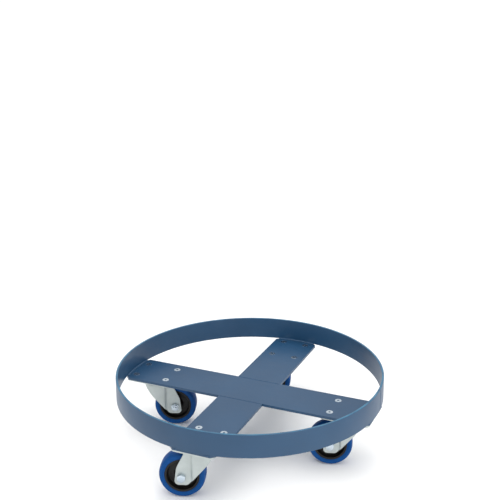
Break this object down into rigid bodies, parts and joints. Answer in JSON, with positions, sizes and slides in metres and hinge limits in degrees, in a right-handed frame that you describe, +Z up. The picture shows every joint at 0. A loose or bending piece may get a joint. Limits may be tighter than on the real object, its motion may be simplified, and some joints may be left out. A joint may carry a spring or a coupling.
{
  "type": "drum dolly",
  "caption": "Ring-shaped drum dolly: a rolled steel band on a flat-bar cross, carried by swivel casters with blue rubber tyres.",
  "frame": {"origin": "on the floor under the centre of the ring", "axes": "+Z up, +X along the long cross bar, +Y along the short cross bars"},
  "size_m": [0.6216, 0.6216, 0.185],
  "materials": {
    "blue_enamel": "semi-gloss slate blue powder coat",
    "zinc_plate": "bright zinc plate on pressed steel",
    "bolt_zinc": "clear blue zinc plate",
    "bearing_steel": "bright hardened steel",
    "blue_rubber": "matte elastic rubber",
    "black_nylon": "moulded nylon, fine grain"
  },
  "bodies": {
    "frame": {"ring_band": "blue_enamel", "cross_bar_long": "blue_enamel", "cross_bar_front": "blue_enamel", "cross_bar_back": "blue_enamel", "top_plate_front_left": "zinc_plate", "kingpin_front_left": "bearing_steel", "swivel_bearing_front_left": "bearing_steel", "mounting_bolt_front_left_1": "bolt_zinc", "mounting_bolt_front_left_2": "bolt_zinc", "mounting_bolt_front_left_3": "bolt_zinc", "mounting_bolt_front_left_4": "bolt_zinc", "top_plate_front_right": "zinc_plate", "kingpin_front_right": "bearing_steel", "swivel_bearing_front_right": "bearing_steel", "mounting_bolt_front_right_1": "bolt_zinc", "mounting_bolt_front_right_2": "bolt_zinc", "mounting_bolt_front_right_3": "bolt_zinc", "mounting_bolt_front_right_4": "bolt_zinc", "top_plate_back_right": "zinc_plate", "kingpin_back_right": "bearing_steel", "swivel_bearing_back_right": "bearing_steel", "mounting_bolt_back_right_1": "bolt_zinc", "mounting_bolt_back_right_2": "bolt_zinc", "mounting_bolt_back_right_3": "bolt_zinc", "mounting_bolt_back_right_4": "bolt_zinc", "top_plate_back_left": "zinc_plate", "kingpin_back_left": "bearing_steel", "swivel_bearing_back_left": "bearing_steel", "mounting_bolt_back_left_1": "bolt_zinc", "mounting_bolt_back_left_2": "bolt_zinc", "mounting_bolt_back_left_3": "bolt_zinc", "mounting_bolt_back_left_4": "bolt_zinc"},
    "swivel_front_left": {"fork_front_left": "zinc_plate", "axle_bolt_front_left": "bolt_zinc", "axle_nut_front_left": "bolt_zinc", "axle_sleeve_front_left": "bearing_steel"},
    "wheel_front_left": {"tyre_front_left": "blue_rubber", "wheel_core_front_left": "black_nylon", "wheel_bearing_front_left": "black_nylon"},
    "swivel_front_right": {"fork_front_right": "zinc_plate", "axle_bolt_front_right": "bolt_zinc", "axle_nut_front_right": "bolt_zinc", "axle_sleeve_front_right": "bearing_steel"},
    "wheel_front_right": {"tyre_front_right": "blue_rubber", "wheel_core_front_right": "black_nylon", "wheel_bearing_front_right": "black_nylon"},
    "swivel_back_right": {"fork_back_right": "zinc_plate", "axle_bolt_back_right": "bolt_zinc", "axle_nut_back_right": "bolt_zinc", "axle_sleeve_back_right": "bearing_steel"},
    "wheel_back_right": {"tyre_back_right": "blue_rubber", "wheel_core_back_right": "black_nylon", "wheel_bearing_back_right": "black_nylon"},
    "swivel_back_left": {"fork_back_left": "zinc_plate", "axle_bolt_back_left": "bolt_zinc", "axle_nut_back_left": "bolt_zinc", "axle_sleeve_back_left": "bearing_steel"},
    "wheel_back_left": {"tyre_back_left": "blue_rubber", "wheel_core_back_left": "black_nylon", "wheel_bearing_back_left": "black_nylon"}
  },
  "joints": [
    {"name": "swivel_front_left", "type": "hinge", "parent": "frame", "child": "swivel_front_left", "pos_m": [0, -0.248, 0.11], "axis": [0, 0, 1], "continuous": true},
    {"name": "roll_front_left", "type": "hinge", "parent": "swivel_front_left", "child": "wheel_front_left", "pos_m": [-0.04267, -0.26228, 0.0508], "axis": [0.3173, -0.9483, 0], "continuous": true},
    {"name": "swivel_front_right", "type": "hinge", "parent": "frame", "child": "swivel_front_right", "pos_m": [0.248, 0, 0.11], "axis": [0, 0, 1], "continuous": true},
    {"name": "roll_front_right", "type": "hinge", "parent": "swivel_front_right", "child": "wheel_front_right", "pos_m": [0.20497, -0.01316, 0.0508], "axis": [0.2924, -0.9563, 0], "continuous": true},
    {"name": "swivel_back_right", "type": "hinge", "parent": "frame", "child": "swivel_back_right", "pos_m": [0, 0.248, 0.11], "axis": [0, 0, 1], "continuous": true},
    {"name": "roll_back_right", "type": "hinge", "parent": "swivel_back_right", "child": "wheel_back_right", "pos_m": [-0.04303, 0.23484, 0.0508], "axis": [0.2924, -0.9563, 0], "continuous": true},
    {"name": "swivel_back_left", "type": "hinge", "parent": "frame", "child": "swivel_back_left", "pos_m": [-0.248, 0, 0.11], "axis": [0, 0, 1], "continuous": true},
    {"name": "roll_back_left", "type": "hinge", "parent": "swivel_back_left", "child": "wheel_back_left", "pos_m": [-0.20628, 0.01686, 0.0508], "axis": [-0.3746, 0.9272, 0], "continuous": true}
  ]
}
